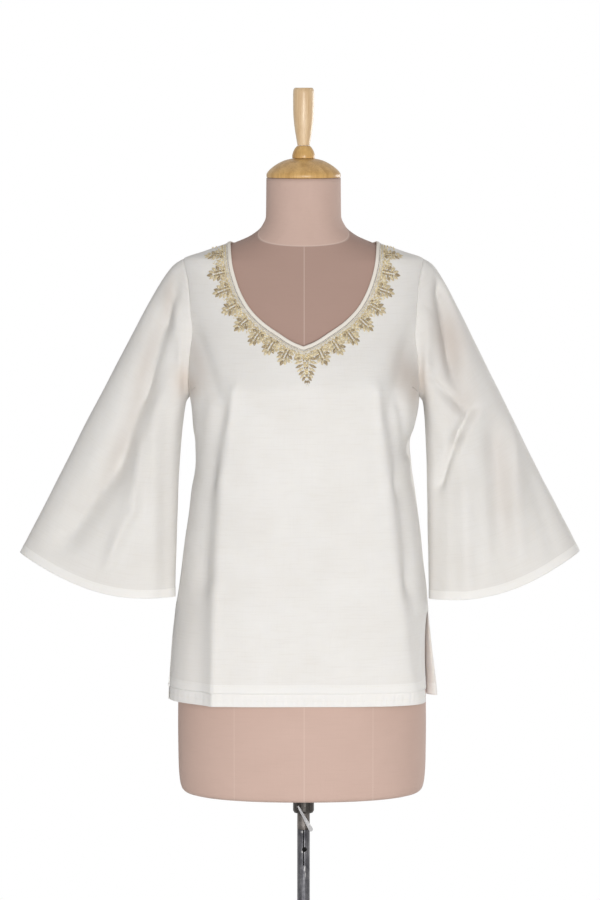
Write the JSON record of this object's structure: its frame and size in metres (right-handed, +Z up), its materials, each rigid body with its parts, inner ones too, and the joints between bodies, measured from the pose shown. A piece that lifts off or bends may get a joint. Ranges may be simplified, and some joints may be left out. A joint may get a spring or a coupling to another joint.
{
  "type": "kurta tunic on a limbless dress form",
  "caption": "Ivory kurta tunic with a leaf-embroidered V neck, flared sleeves and side slits, worn on a limbless dress form with a turned wood top, steel pole and round base.",
  "frame": {"origin": "centre of the base disc's underside, on the floor", "axes": "+Z up, the front faces -Y, +X is the wearer's left"},
  "size_m": [0.7949, 0.4, 1.573],
  "materials": {
    "ivory_cloth": "plain weave with soft slubs and a faint sheen",
    "cream_binding": "smooth bias binding",
    "gold_thread": "antique gold thread embroidery",
    "linen": "matte linen cover",
    "honey_wood": "clear satin varnish",
    "steel": "brushed",
    "pale_steel": "satin",
    "dark_steel": "dark satin"
  },
  "bodies": {
    "root": {"front_panel": "ivory_cloth", "back_panel": "ivory_cloth", "front_hem_strip": "ivory_cloth", "sleeve_right": "ivory_cloth", "sleeve_left": "ivory_cloth", "neck_binding": "cream_binding", "neck_embroidery": "gold_thread", "form_body": "linen", "neck_cap": "honey_wood", "cap_collar": "honey_wood", "cap_handle": "honey_wood", "pole_socket": "dark_steel", "pole_ferrule": "pale_steel", "pole": "steel", "locking_lever": "pale_steel", "base_collar": "dark_steel", "base_disc": "dark_steel"}
  },
  "joints": []
}
